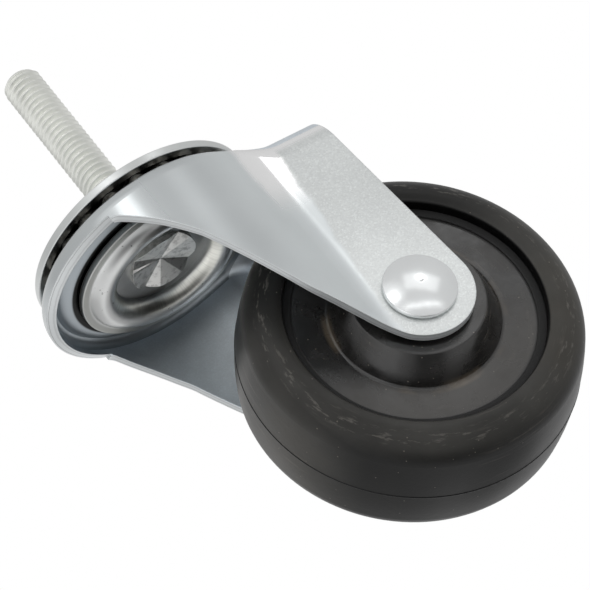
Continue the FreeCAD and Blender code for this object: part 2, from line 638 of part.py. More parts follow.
def side_outline(sketch):
    """Waste round the fork in side view: below the skirt's rim, before and behind the legs."""
    axle = at("swivel_offset", "axle_z")
    tip = dim("leg_tip_radius")
    corner = at("skirt_corner_left", "skirt_rim_z")
    brow, knee, hip = at("brow_left", "brow_z"), at("knee_left", "knee_z"), at("hip_x", "hip_z")
    lean = math.radians(dim("back_edge_lean"))
    far = 3 * dim("wheel_diameter")

    to_axle = axle - hip
    fall = math.atan2(to_axle.y, to_axle.x) - math.asin(tip / to_axle.Length)
    front_touch = axle + Vector(math.sin(fall), -math.cos(fall), 0) * tip
    back_touch = axle + Vector(math.cos(lean), math.sin(lean), 0) * tip
    climb = dim("crown_bend_radius") - back_touch.y
    back_top = back_touch + Vector(-math.tan(lean), 1, 0) * climb
    front_end = Vector(-far, corner.y, 0)

    bends = []
    for before, point, after, radius in (
            (front_end, corner, brow, "skirt_corner_radius"),
            (corner, brow, knee, "brow_radius"),
            (brow, knee, hip, "knee_radius"),
            (knee, hip, front_touch, "hip_radius")):
        bends.append(rounded(before, point, after, dim(radius)) + (radius, point))

    start = front_end
    lines, arcs = [], []
    for entry, leave, arc, anticlockwise, radius, point in bends:
        lines.append(sketch.addGeometry(Part.LineSegment(start, entry), False))
        arcs.append((sketch.addGeometry(arc, False), anticlockwise, radius, point))
        start = leave
    lines.append(sketch.addGeometry(Part.LineSegment(start, front_touch), False))
    angles = [math.atan2(point.y - axle.y, point.x - axle.x) for point in (front_touch, back_touch)]
    tip_arc = sketch.addGeometry(Part.ArcOfCircle(
        Part.Circle(axle, Vector(0, 0, 1), tip), angles[0], angles[1]), False)
    back_line = sketch.addGeometry(Part.LineSegment(back_touch, back_top), False)
    box = [back_top, Vector(far, back_top.y, 0), Vector(far, -far, 0), Vector(-far, -far, 0), front_end]
    frame = [sketch.addGeometry(Part.LineSegment(first, second), False)
             for first, second in zip(box[:-1], box[1:])]

    for index, (arc, anticlockwise, radius, point) in enumerate(arcs):
        entry, leave = (1, 2) if anticlockwise else (2, 1)
        sketch.addConstraint(Sketcher.Constraint("Tangent", lines[index], 2, arc, entry))
        sketch.addConstraint(Sketcher.Constraint("Tangent", arc, leave, lines[index + 1], 1))
        drive(sketch, Sketcher.Constraint("Radius", arc, dim(radius)), f"Dims.{radius}")
    for point, names, pair in (
            (corner, ("skirt_corner_left", "skirt_rim_z"), (lines[1],)),
            (brow, ("brow_left", "brow_z"), (lines[1], lines[2])),
            (knee, ("knee_left", "knee_z"), (lines[2], lines[3])),
            (hip, ("hip_x", "hip_z"), (lines[3], lines[4]))):
        mark = sketch.addGeometry(Part.Point(point), True)
        pin_point(sketch, mark, 1, *names)
        for line in pair:
            sketch.addConstraint(Sketcher.Constraint("PointOnObject", mark, 1, line))
    sketch.addConstraint(Sketcher.Constraint("Horizontal", lines[0]))
    drive(sketch, Sketcher.Constraint("DistanceY", lines[0], 1, corner.y), "Dims.skirt_rim_z")
    sketch.addConstraint(Sketcher.Constraint("Tangent", lines[4], 2, tip_arc, 1))
    sketch.addConstraint(Sketcher.Constraint("Tangent", tip_arc, 2, back_line, 1))
    drive(sketch, Sketcher.Constraint("Radius", tip_arc, tip), "Dims.leg_tip_radius")
    pin_point(sketch, tip_arc, 3, "swivel_offset", "axle_z")
    drive(sketch, Sketcher.Constraint("Angle", back_line, math.pi / 2 + lean), "90 deg + Dims.back_edge_lean * 1 deg")
    drive(sketch, Sketcher.Constraint("DistanceY", back_line, 2, back_top.y), "Dims.crown_bend_radius")

    sketch.addConstraint(Sketcher.Constraint("Coincident", back_line, 2, frame[0], 1))
    for first, second in zip(frame[:-1], frame[1:]):
        sketch.addConstraint(Sketcher.Constraint("Coincident", first, 2, second, 1))
    sketch.addConstraint(Sketcher.Constraint("Coincident", frame[-1], 2, lines[0], 1))
    for line, way in zip(frame, ("Horizontal", "Vertical", "Horizontal", "Vertical")):
        sketch.addConstraint(Sketcher.Constraint(way, line))
    drive(sketch, Sketcher.Constraint("DistanceX", frame[1], 1, far), "3 * Dims.wheel_diameter")
    drive(sketch, Sketcher.Constraint("DistanceX", frame[3], 1, -far), "-3 * Dims.wheel_diameter")
    drive(sketch, Sketcher.Constraint("DistanceY", frame[2], 1, -far), "-3 * Dims.wheel_diameter")


def side_waste():
    """What the press cuts away round the fork, as seen from the side."""
    waste = new_body("fork_waste")
    side = new_sketch(waste, "side_waste", "XZ_Plane")
    side_outline(side)
    block = waste.newObject("PartDesign::Pad", "waste_pad")
    block.Profile = side
    block.Midplane = True
    block.setExpression("Length", "2 * (Dims.crown_radius + Dims.leg_half_width)")
    doc.recompute()
    return waste


def rim_slant():
    """Ring section that slants the front wall's rim, since the wall leans out a little."""
    slant = new_body("rim_slant")
    section = new_sketch(slant, "rim_section", "XZ_Plane")
    profile(section, [
        ("rim_inner_left", "skirt_rim_z"),
        ("rim_inner_left", "rim_below"),
        ("rim_far_left", "rim_below"),
        ("rim_far_left", "rim_far_top"),
    ])
    ring = turn(slant, "rim_ring", section)
    ring.Midplane = True
    ring.setExpression("Angle", "2 * acos(Dims.rim_end_x / Dims.crown_radius)")
    doc.recompute()
    return slant


def ring_tool(label, race, height, radius):
    """A ring of round section, as wide as a ball and its gap."""
    ring = doc.addObject("Part::Torus", label)
    ring.setExpression("Radius1", f"Dims.{race}")
    ring.setExpression("Radius2", f"Dims.{radius}")
    ring.setExpression("Placement.Base.z", f"Dims.{height}")
    doc.recompute()
    return ring


def hole_tool(label, radius):
    """A round bar down from the mounting face, longer than the fork is wide."""
    bar = doc.addObject("Part::Cylinder", label)
    bar.setExpression("Radius", f"Dims.{radius}")
    bar.setExpression("Height", "2 * Dims.wheel_diameter")
    bar.setExpression("Placement.Base.z", "-Dims.wheel_diameter")
    doc.recompute()
    return bar


def make_fork():
    """Pressed fork: crown with two ball grooves, round front skirt, two flat legs."""
    skin = combine("Part::Cut", "outer_skin",
                   plan_block("outer_block", "crown_top_z", 0, "crown_bend_radius"),
                   leg_corners("outer_corners", "crown_top_z", 0))
    core = combine("Part::Cut", "inner_skin",
                   plan_block("inner_block", "crown_under_z", "fork_sheet", "inner_bend_radius"),
                   leg_corners("inner_corners", "crown_under_z", "fork_sheet"))
    shell = combine("Part::Cut", "pressed_shell", skin, core)
    shell = combine("Part::Cut", "side_trim", shell, side_waste())
    shell = combine("Part::Cut", "rim_trim", shell, rim_slant())

    ridge = turned_piece("race_ridge", [
        ("ridge_inner", "ridge_root_z", "ridge_radius", 1),
        ("ridge_outer", "ridge_root_z"),
    ])
    shell = combine("Part::Fuse", "ridged_shell", shell, ridge)
    upper = ring_tool("upper_ball_ring", "upper_race_radius", "upper_ball_z", "upper_groove_radius")
    shell = combine("Part::Cut", "upper_groove", shell, upper)
    lower = ring_tool("lower_ball_ring", "lower_race_radius", "lower_ball_z", "lower_groove_radius")
    shell = combine("Part::Cut", "lower_groove", shell, lower)
    shell = combine("Part::Cut", "crown_hole", shell, hole_tool("crown_hole_bar", "crown_hole_radius"))
    axle_bar = hole_tool("axle_bar", "axle_hole_radius")
    axle_bar.Placement = Placement(
        Vector(dim("swivel_offset"), dim("wheel_diameter"), dim("axle_z")), Rotation(Vector(1, 0, 0), 90))
    axle_bar.setExpression("Placement.Base.x", "Dims.swivel_offset")
    axle_bar.setExpression("Placement.Base.y", "Dims.wheel_diameter")
    axle_bar.setExpression("Placement.Base.z", "Dims.axle_z")
    doc.recompute()
    return combine("Part::Cut", "fork", shell, axle_bar)


def make_rivet():
    """Axle rivet: domed head on the near leg, shank, low formed tail on the far leg."""
    rivet = turned_piece("axle_rivet", [
        (0, "rivet_tail_top", "rivet_tail_dome", 1),
        ("rivet_tail_radius", "rivet_tail_edge"),
        ("rivet_tail_radius", "rivet_tail_base"),
        ("axle_radius", "rivet_tail_base"),
        ("axle_radius", "leg_half_width"),
        ("rivet_head_seat", "leg_half_width"),
        ("rivet_head_radius", "rivet_head_base"),
        ("rivet_head_radius", "rivet_head_shoulder", "rivet_dome_radius", 1),
        (0, "rivet_head_top"),
    ])
    shoulder = ring_at(dim("rivet_head_radius"), dim("rivet_head_shoulder"))
    round_edges(rivet, "rivet_edge", rivet.Tip, shoulder, "edge_rounding")
    lay_on_axle(rivet)
    return rivet


def make_sleeve():
    """Spacer tube round the rivet, tight between the legs: the wheel turns on it."""
    sleeve = turned_piece("axle_sleeve", [
        ("axle_hole_radius", "sleeve_far"),
        ("sleeve_radius", "sleeve_far"),
        ("sleeve_radius", "leg_inner"),
        ("axle_hole_radius", "leg_inner"),
    ])
    lay_on_axle(sleeve)
    return sleeve


def make_hub():
    """Moulded hub: bored boss, coned foot, web, stepped rim and the key that holds the tyre."""
    hub = turned_piece("wheel_hub", [
        ("hub_bore_radius", "hub_far"),
        ("hub_face_radius", "hub_far"),
        ("boss_foot_radius", "web_far"),
        ("rim_step_radius", "web_far"),
        ("rim_step_radius", "rim_far"),
        ("hub_rim_radius", "rim_far"),
        ("hub_rim_radius", "tongue_far"),
        ("tongue_radius", "tongue_far"),
        ("tongue_radius", "tongue_half_width"),
        ("hub_rim_radius", "tongue_half_width"),
        ("hub_rim_radius", "rim_half_width"),
        ("rim_step_radius", "rim_half_width"),
        ("rim_step_radius", "web_half_width"),
        ("boss_foot_radius", "web_half_width"),
        ("hub_face_radius", "hub_half_length"),
        ("hub_bore_radius", "hub_half_length"),
    ])
    foot, web = dim("boss_foot_radius"), dim("web_half_width")
    near_foot, far_foot = ring_at(foot, web), ring_at(foot, -web)
    feet = round_edges(hub, "boss_feet", hub.Tip, lambda edge: near_foot(edge) or far_foot(edge), "boss_fillet")
    face, end = dim("hub_face_radius"), dim("hub_half_length")
    step, rim = dim("rim_step_radius"), dim("rim_half_width")
    broken = [ring_at(face, end), ring_at(face, -end), ring_at(step, rim), ring_at(step, -rim)]
    round_edges(hub, "hub_edges", feet, lambda edge: any(test(edge) for test in broken), "edge_rounding")
    lay_on_axle(hub)
    return hub


def make_tyre():
    """Rubber tyre: crowned tread, round shoulders, lips over the hub's rim, key groove."""
    tyre = turned_piece("tyre", [
        ("hub_rim_radius", "tongue_far"),
        ("hub_rim_radius", "lip_far", "lip_radius", 1),
        ("lip_end_radius", "lip_end_far", "shoulder_radius", 1),
        ("tread_end_radius", "tread_end_far", "tread_radius", 1),
        ("tread_end_radius", "tread_end_z", "shoulder_radius", 1),
        ("lip_end_radius", "lip_end_z", "lip_radius", 1),
        ("hub_rim_radius", "lip_z"),
        ("hub_rim_radius", "tongue_half_width"),
        ("tongue_radius", "tongue_half_width"),
        ("tongue_radius", "tongue_far"),
    ])
    line = new_sketch(tyre, "parting_section", "XZ_Plane")
    circle(line, "parting_centre", 0, "parting_radius")
    turn(tyre, "parting_line", line)
    lay_on_axle(tyre)
    return tyre


def check_document(pieces):
    """Stop if a feature failed, or if a piece is empty, broken or not one solid."""
    doc.recompute()
    for item in doc.Objects:
        if "Invalid" in item.State or "Error" in item.State:
            raise ValueError(f"{item.Label} failed: {item.State}")
    for piece in pieces:
        shape = piece.Shape
        if shape.isNull() or not shape.isValid() or len(shape.Solids) != 1:
            raise ValueError(f"{piece.Label} is not one valid solid")


PIECES = [make_stem(), make_top_plate()]
PIECES += make_balls("upper_ball", "upper_ball_radius", "upper_race_radius", "upper_ball_z")
PIECES += [make_fork()]
PIECES += make_balls("lower_ball", "lower_ball_radius", "lower_race_radius", "lower_ball_z")
PIECES += [make_cup(), make_rivet(), make_sleeve(), make_hub(), make_tyre()]

check_document(PIECES)
for piece in PIECES:
    piece.Shape.exportStep(f"parts/{piece.Label}.step")
    print(f"{piece.Label}: {piece.Shape.Volume:.1f} cubic millimetres")
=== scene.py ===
import json
import math

import bmesh
import bpy
from mathutils import Matrix, Vector


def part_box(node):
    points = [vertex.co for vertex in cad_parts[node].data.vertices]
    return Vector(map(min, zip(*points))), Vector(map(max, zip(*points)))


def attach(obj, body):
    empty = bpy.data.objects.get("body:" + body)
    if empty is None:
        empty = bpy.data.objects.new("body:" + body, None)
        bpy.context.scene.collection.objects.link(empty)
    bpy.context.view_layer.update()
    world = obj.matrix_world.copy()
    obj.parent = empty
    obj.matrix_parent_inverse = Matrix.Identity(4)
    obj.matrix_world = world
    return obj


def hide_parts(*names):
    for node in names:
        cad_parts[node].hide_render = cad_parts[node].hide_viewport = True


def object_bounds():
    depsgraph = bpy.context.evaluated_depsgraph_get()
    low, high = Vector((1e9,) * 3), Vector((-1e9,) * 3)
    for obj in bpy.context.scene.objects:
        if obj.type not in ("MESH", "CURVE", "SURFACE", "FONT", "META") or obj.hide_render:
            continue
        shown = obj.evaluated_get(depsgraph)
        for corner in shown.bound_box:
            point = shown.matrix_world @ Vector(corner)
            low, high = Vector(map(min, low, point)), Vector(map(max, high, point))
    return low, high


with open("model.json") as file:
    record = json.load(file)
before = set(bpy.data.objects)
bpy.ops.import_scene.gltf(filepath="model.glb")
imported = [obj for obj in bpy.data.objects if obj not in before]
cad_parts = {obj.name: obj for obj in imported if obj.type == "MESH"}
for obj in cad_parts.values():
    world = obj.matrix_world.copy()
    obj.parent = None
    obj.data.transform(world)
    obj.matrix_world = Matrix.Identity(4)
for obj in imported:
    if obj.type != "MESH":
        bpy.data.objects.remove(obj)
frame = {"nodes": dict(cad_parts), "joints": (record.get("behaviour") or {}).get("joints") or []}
cad_box = [list(corner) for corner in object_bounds()]
nodes = frame["nodes"]
joints = {joint["name"]: joint for joint in frame["joints"]}
scene = bpy.context.scene

# Sizes and places are in metres. The mounting face is z = 0, the stem stands on it and is centred on z,
# and the wheel trails towards +x.
MM = 0.001
CLEARANCE = 0.03 * MM
AXLE = Vector(joints["wheel_spin"]["pos_m"])

# Stem: a three-eighths inch crest with sixteen turns to the inch
STEM_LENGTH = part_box("threaded_stem")[1][2]
STEM_RADIUS = 4.7625 * MM
STEM_TIP_RADIUS = 3.46 * MM
NECK_RADIUS = 5 * MM
THREAD_PITCH = 25.4 / 16 * MM
THREAD_DEPTH = 0.9 * MM

# Fork: a round nose, a slanting wall tangent to it, a flare that bends outwards, then a flat leg
SHEET = 2 * MM
NOSE_RADIUS = 30.3 * MM
LEG_SIDE = 22.4 * MM
FLARE_RADIUS = 10 * MM
FLARE_CENTRE_X = 24.5 * MM
CROWN_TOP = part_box("fork")[1][2]
CROWN_UNDERSIDE = CROWN_TOP - SHEET
PLATE_UNDERSIDE = -2 * MM


# Node helpers

def new_material(name):
    material = bpy.data.materials.new(name)
    material.use_nodes = True
    tree = material.node_tree
    return material, tree, tree.nodes["Principled BSDF"]


def plug(tree, socket, value):
    """Link a socket or set a plain value."""
    if isinstance(value, bpy.types.NodeSocket):
        tree.links.new(value, socket)
    elif isinstance(value, tuple) and len(value) == 3 and socket.type == "RGBA":
        socket.default_value = (*value, 1)
    else:
        socket.default_value = value


def add(tree, kind, inputs=None, **settings):
    """A node with its settings, and with values or links for its inputs."""
    node = tree.nodes.new(kind)
    for key, value in settings.items():
        setattr(node, key, value)
    for key, value in (inputs or {}).items():
        plug(tree, node.inputs[key], value)
    return node


def place(tree):
    """The point being shaded, in the castor's own frame, in metres."""
    return add(tree, "ShaderNodeTexCoord").outputs["Object"]


def split(tree, where):
    return add(tree, "ShaderNodeSeparateXYZ", {0: where}).outputs


def calc(tree, operation, *values):
    """The result of one sum."""
    node = add(tree, "ShaderNodeMath", operation=operation)
    for socket, value in zip(node.inputs, values):
        plug(tree, socket, value)
    return node.outputs[0]


def product(tree, first, *others):
    """All these values multiplied."""
    for value in others:
        first = calc(tree, "MULTIPLY", first, value)
    return first


def length(tree, first, second):
    """Length of a flat vector with these two parts."""
    squares = calc(tree, "ADD", product(tree, first, first), product(tree, second, second))
    return calc(tree, "SQRT", squares)


def above(tree, value, limit):
    """1 where the value is over the limit, else 0."""
    return calc(tree, "GREATER_THAN", value, limit)


def below(tree, value, limit):
    """1 where the value is under the limit, else 0."""
    return calc(tree, "LESS_THAN", value, limit)


def soft(tree, value, start, end):
    """0 up to the start, 1 from the end on, and smooth between, also where the end is the lower one."""
    return add(tree, "ShaderNodeMapRange", {0: value, 1: start, 2: end},
               interpolation_type="SMOOTHSTEP").outputs[0]


def band(tree, value, low, high, fade):
    """1 between low and high, fading out over the fade on both sides."""
    rise = add(tree, "ShaderNodeMapRange", {0: value, 1: low - fade, 2: low}).outputs[0]
    fall = add(tree, "ShaderNodeMapRange", {0: value, 1: high, 2: high + fade, 3: 1.0, 4: 0.0}).outputs[0]
    return product(tree, rise, fall)


def choose(tree, switch, off, on):
    """off where the switch is 0, on where it is 1."""
    return add(tree, "ShaderNodeMix", {0: switch, 2: off, 3: on}).outputs[0]


def blend(tree, factor, first, second, kind="MIX"):
    """Two colours mixed by the factor, or the first one multiplied by the second."""
    node = add(tree, "ShaderNodeMix", data_type="RGBA", blend_type=kind)
    for key, value in ((0, factor), (6, first), (7, second)):
        plug(tree, node.inputs[key], value)
    return node.outputs[2]


def noise(tree, where, scale, detail=2.0, rough=0.5):
    return add(tree, "ShaderNodeTexNoise", {"Vector": where, "Scale": scale, "Detail": detail,
                                            "Roughness": rough}).outputs["Fac"]


def vary(tree, cloud, spread, middle=0.0):
    """A value that strays from its middle by half the spread either way, as a cloud of 0 to 1 says."""
    return calc(tree, "MULTIPLY_ADD", cloud, spread, middle - spread / 2)


def ramp(tree, value, stops):
    """A ramp of grey levels or colours: (position, level or colour) pairs."""
    node = add(tree, "ShaderNodeValToRGB", {"Fac": value})
    elements = node.color_ramp.elements
    while len(elements) < len(stops):
        elements.new(0.5)
    for element, (position, colour) in zip(elements, stops):
        element.position = position
        if not isinstance(colour, tuple):
            colour = (colour, colour, colour)
        element.color = (*colour, 1)
    return node.outputs["Color"]


def stretched(tree, *scaled):
    """A point for marks that are drawn out one way: (value, scale) pairs in place of x, y and z."""
    node = add(tree, "ShaderNodeCombineXYZ")
    for socket, (value, scale) in zip(node.inputs, scaled):
        plug(tree, socket, product(tree, value, scale))
    return node.outputs[0]


def bump(tree, shader, height, distance, strength=1.0, edge=0.0):
    """Relief in the shading; edge rounds the piece's sharp edges by that radius."""
    node = add(tree, "ShaderNodeBump", {"Height": height, "Strength": strength, "Distance": distance})
    if edge:
        rounded = add(tree, "ShaderNodeBevel", {"Radius": edge}, samples=6)
        tree.links.new(rounded.outputs["Normal"], node.inputs["Normal"])
    tree.links.new(node.outputs["Normal"], shader.inputs["Normal"])


def surface(tree, shader, colour, rough, metallic=1.0, specular=0.5):
    """Colour, gloss and metal of a shader; a metal unless it says otherwise."""
    plug(tree, shader.inputs["Base Color"], colour)
    plug(tree, shader.inputs["Roughness"], rough)
    plug(tree, shader.inputs["Metallic"], metallic)
    plug(tree, shader.inputs["Specular IOR Level"], specular)


# Metal

def cloudy(tree, where, base, patchy, scale=70.0):
    """A colour that drifts darker and lighter by the share patchy."""
    dark = tuple(level * (1 - patchy) for level in base)
    light = tuple(min(1, level * (1 + patchy)) for level in base)
    return ramp(tree, noise(tree, where, scale, 4.0), ((0.3, dark), (0.7, light)))


def zinc(name, base, rough):
    """Smooth zinc plate, slightly cloudy."""
    material, tree, shader = new_material(name)
    where = place(tree)
    fine = noise(tree, where, 900.0)
    surface(tree, shader, cloudy(tree, where, base, 0.04), vary(tree, fine, 0.1, rough))
    bump(tree, shader, fine, 0.02 * MM, strength=0.5)
    return material


def cup_zinc():
    """Zinc plate on the lower cup: pitted, striped by the press on the trough's inner wall, with painted
    shade in the trough, and darker on the flange."""
    wall_start, wall_end = 11 * MM, 14.4 * MM
    trough_shade_end = 16 * MM
    trough_shade_low, trough_shade_high = -12.6 * MM, -10.9 * MM
    flange_start, flange_full = 19.8 * MM, 20.3 * MM

    material, tree, shader = new_material("cup_zinc")
    where = place(tree)
    x, y, z = split(tree, where)
    reach = length(tree, x, y)
    pits = ramp(tree, noise(tree, where, 700.0), ((0.26, 0.4), (0.30, 1.0)))
    tone = blend(tree, 1.0, cloudy(tree, where, (0.72, 0.73, 0.725), 0.06, 90.0), pits, "MULTIPLY")

    turn = calc(tree, "ARCTAN2", y, x)
    drawn = stretched(tree, (turn, 22.0), (reach, 60.0))
    stripes = ramp(tree, noise(tree, drawn, 1.6, 3.0, 0.6), ((0.35, 0.84), (0.6, 1.0)))
    striped = blend(tree, 1.0, (0.90, 0.90, 0.84), stripes, "MULTIPLY")
    tone = blend(tree, band(tree, reach, wall_start, wall_end, 0.8 * MM), tone, striped)

    # Painted shade: the trough is painted darker.
    trough = product(tree, soft(tree, z, trough_shade_low, trough_shade_high), below(tree, reach, trough_shade_end))
    tone = blend(tree, trough, tone, (0.42, 0.43, 0.43))
    tone = blend(tree, soft(tree, reach, flange_start, flange_full), tone, (0.52, 0.53, 0.51))
    fine = noise(tree, where, 900.0)
    surface(tree, shader, tone, vary(tree, fine, 0.08, 0.32))
    bump(tree, shader, fine, 0.01 * MM, strength=0.3)
    return material


def sheet_depth(tree, x, y):
    """How deep a point of the fork's front wall and legs lies under their outer face, in metres."""
    flare_y = LEG_SIDE + FLARE_RADIUS
    tangent = (NOSE_RADIUS + FLARE_RADIUS) / math.hypot(FLARE_CENTRE_X, flare_y)
    lean = math.atan2(flare_y, FLARE_CENTRE_X) + math.acos(tangent)
    slope_start = (NOSE_RADIUS - SHEET / 2) * math.cos(lean)
    slope_end = FLARE_CENTRE_X - (FLARE_RADIUS + SHEET / 2) * math.cos(lean)

    side = calc(tree, "ABSOLUTE", y)
    nose = calc(tree, "SUBTRACT", NOSE_RADIUS, length(tree, x, y))
    along = calc(tree, "ADD", product(tree, x, math.cos(lean)), product(tree, side, math.sin(lean)))
    slope = calc(tree, "SUBTRACT", NOSE_RADIUS, along)
    from_flare = (calc(tree, "SUBTRACT", x, FLARE_CENTRE_X), calc(tree, "SUBTRACT", side, flare_y))
    flare = calc(tree, "SUBTRACT", length(tree, *from_flare), FLARE_RADIUS)
    flat = calc(tree, "SUBTRACT", LEG_SIDE, side)

    depth = choose(tree, above(tree, x, slope_start), nose, slope)
    depth = choose(tree, above(tree, x, slope_end), depth, flare)
    return choose(tree, above(tree, x, FLARE_CENTRE_X), depth, flat)


def sheared_edge(tree, where, normal, deep):
    """Where the fork's sheared edges are, and the grey layers that run along them."""
    edge_start = -16 * MM
    rim_top = -10.9 * MM

    x, _, z = split(tree, where)
    lengthwise = below(tree, calc(tree, "ABSOLUTE", normal[1]), 0.03)
    not_level = below(tree, calc(tree, "ABSOLUTE", normal[2]), 0.97)
    edge = product(tree, lengthwise, not_level, above(tree, x, edge_start))
    rim = product(tree, below(tree, normal[2], -0.6), below(tree, z, rim_top))
    ragged = calc(tree, "ADD", deep, vary(tree, noise(tree, where, 350.0, 3.0, 0.7), 0.5 * MM))
    layers = ramp(tree, calc(tree, "DIVIDE", ragged, SHEET),
                  ((0.0, 1.0), (0.14, 1.0), (0.19, 0.5), (0.25, 0.98),
                   (0.6, 0.98), (0.7, 0.78), (0.82, 0.85), (0.9, 1.0)))
    return calc(tree, "MAXIMUM", edge, rim), layers


def fork_zinc():
    """Zinc plate on the pressed fork: smooth where the sheet was drawn, with painted shade on the front and
    a painted white highlight on the flare, grainy on the flat legs, bluish inside with painted shade on the
    skirt's inner wall and the ridge, dark with grease and painted shade under the crown, and layered on the
    sheared edges."""
    flat_start, flat_full = 28.6 * MM, 30 * MM
    front_end, side_start = 5 * MM, 16 * MM
    flare_start, flare_full = 17 * MM, 19.5 * MM
    highlight_low, highlight_high = -31 * MM, -19 * MM
    grease_shade_end, grease_shade_full = 23.4 * MM, 22.9 * MM
    shaded_ridge_low, shaded_ridge_end = -10.5 * MM, 29 * MM
    skirt_shade_start, skirt_shade_full = -14 * MM, -20 * MM
    nose_end, crown_start = -8 * MM, -3 * MM
    near_underside = CROWN_UNDERSIDE + 0.3 * MM

    material, tree, shader = new_material("fork_zinc")
    where = place(tree)
    x, y, z = split(tree, where)
    normal = split(tree, add(tree, "ShaderNodeTexCoord").outputs["Normal"])
    wander = vary(tree, noise(tree, where, 120.0, 3.0), 3.5 * MM)
    reach = length(tree, x, y)
    deep = sheet_depth(tree, x, y)
    lower = below(tree, z, near_underside)

    # Where each look lies
    lean = calc(tree, "MULTIPLY_ADD", z, -0.1, calc(tree, "ADD", x, wander))
    facing = soft(tree, calc(tree, "ABSOLUTE", normal[1]), 0.90, 0.985)
    flat = product(tree, soft(tree, lean, flat_start, flat_full), facing)
    flare = soft(tree, calc(tree, "ADD", x, wander), flare_start, flare_full)
    # The painted highlight: the upper part of the flare.
    painted_highlight = product(tree, flare, soft(tree, calc(tree, "SUBTRACT", z, wander), highlight_low, highlight_high))
    inside = product(tree, above(tree, deep, 0.75 * SHEET), lower)
    # Grease and painted shade: dark under the crown within the ridge.
    grease_and_shade = product(tree, soft(tree, reach, grease_shade_end, grease_shade_full), lower)
    # Where the ridge inside the skirt gets painted shade.
    ridge = product(tree, above(tree, z, shaded_ridge_low), below(tree, reach, shaded_ridge_end))
    cut, layers = sheared_edge(tree, where, normal, deep)

    # Colours
    # The front is painted darker than the sides: painted shade.
    front = cloudy(tree, where, (0.62, 0.65, 0.66), 0.03)
    sides = cloudy(tree, where, (0.77, 0.81, 0.82), 0.03)
    smooth = blend(tree, soft(tree, x, front_end, side_start), front, sides)
    # Painted highlight: that part is painted white.
    smooth = blend(tree, painted_highlight, smooth, (1.0, 1.0, 1.0))
    grains = add(tree, "ShaderNodeTexVoronoi", {"Vector": where, "Scale": 3000.0})
    flakes = ramp(tree, split(tree, grains.outputs["Color"])[0], ((0.0, 0.91), (0.8, 1.0), (1.0, 1.09)))
    grainy = blend(tree, 1.0, cloudy(tree, where, (0.80, 0.825, 0.82), 0.035, 45.0), flakes, "MULTIPLY")
    inner = blend(tree, 0.45, cloudy(tree, where, (0.80, 0.86, 0.91), 0.07, 130.0), flakes, "MULTIPLY")
    # Painted shade on the skirt's inner wall and on the ridge.
    inner = blend(tree, soft(tree, x, skirt_shade_start, skirt_shade_full), inner, (0.52, 0.57, 0.61))
    inner = blend(tree, ridge, inner, (0.46, 0.50, 0.53))
    tone = blend(tree, inside, blend(tree, flat, smooth, grainy), inner)
    # Grease and painted shade, near black.
    tone = blend(tree, grease_and_shade, tone, (0.02, 0.02, 0.02))
    tone = blend(tree, cut, tone, blend(tree, 1.0, layers, (0.86, 0.89, 0.90), "MULTIPLY"))

    # Gloss and relief
    bend_rough = choose(tree, flare, 0.36, choose(tree, painted_highlight, 0.30, 0.14))
    rough = choose(tree, soft(tree, x, nose_end, crown_start), 0.18, bend_rough)
    rough = choose(tree, calc(tree, "MAXIMUM", flat, inside), rough, 0.42)
    rough = choose(tree, cut, rough, 0.34)
    surface(tree, shader, tone, rough, metallic=choose(tree, cut, 1.0, 0.55))
    grain = product(tree, noise(tree, where, 1500.0), choose(tree, flat, 0.12, 1.0))
    bump(tree, shader, grain, 0.03 * MM, strength=0.6, edge=0.3 * MM)
    return material


def stud_zinc():
    """Zinc plate on the stud, grimy where the star is punched in its end."""
    end_top = -9.5 * MM

    material, tree, shader = new_material("stud_zinc")
    where = place(tree)
    end = below(tree, split(tree, where)[2], end_top)
    plated = cloudy(tree, where, (0.92, 0.93, 0.885), 0.06, 160.0)
    grime = ramp(tree, noise(tree, where, 600.0, 4.0, 0.65), ((0.3, 0.55), (0.5, 1.0)))
    dull = blend(tree, 1.0, (0.82, 0.82, 0.80), grime, "MULTIPLY")
    fine = noise(tree, where, 1100.0, 3.0)
    rough = calc(tree, "ADD", vary(tree, fine, 0.12), choose(tree, end, 0.38, 0.46))
    surface(tree, shader, blend(tree, end, plated, dull), rough)
    bump(tree, shader, fine, 0.04 * MM, strength=0.6, edge=0.15 * MM)
    return material


def ball_steel():
    """Steel balls, smeared with grease."""
    material, tree, shader = new_material("ball_steel")
    smear = noise(tree, place(tree), 500.0, 3.0)
    tone = ramp(tree, smear, ((0.4, (0.02, 0.018, 0.015)), (0.7, (0.2, 0.19, 0.17))))
    surface(tree, shader, tone, 0.18, metallic=0.8)
    return material


def grease_shade_ring():
    """Grease in the race, dark and wet, that also serves as painted shade in the gap."""
    material, tree, shader = new_material("grease_shade_ring")
    smear = noise(tree, place(tree), 600.0, 3.0)
    tone = ramp(tree, smear, ((0.3, (0.004, 0.004, 0.003)), (0.7, (0.02, 0.018, 0.012))))
    surface(tree, shader, tone, 0.25, metallic=0.0)
    bump(tree, shader, smear, 0.3 * MM)
    return material


def tube_steel():
    """Plain steel of the spacer tube."""
    material, tree, shader = new_material("tube_steel")
    fine = noise(tree, place(tree), 400.0)
    surface(tree, shader, (0.5, 0.5, 0.5), vary(tree, fine, 0.1, 0.35))
    return material


# Wheel

# The parting line, and painted shade in the joint between the tyre and the hub
JOINT_AND_SHADE_BLACK = (0.002, 0.002, 0.002)


def polar(tree):
    """The point being shaded, its distance from the axle, its turn about it and its side of mid-plane."""
    where = place(tree)
    x, y, z = split(tree, where)
    x = calc(tree, "SUBTRACT", x, AXLE.x)
    z = calc(tree, "SUBTRACT", z, AXLE.z)
    return where, length(tree, x, z), calc(tree, "ARCTAN2", z, x), y


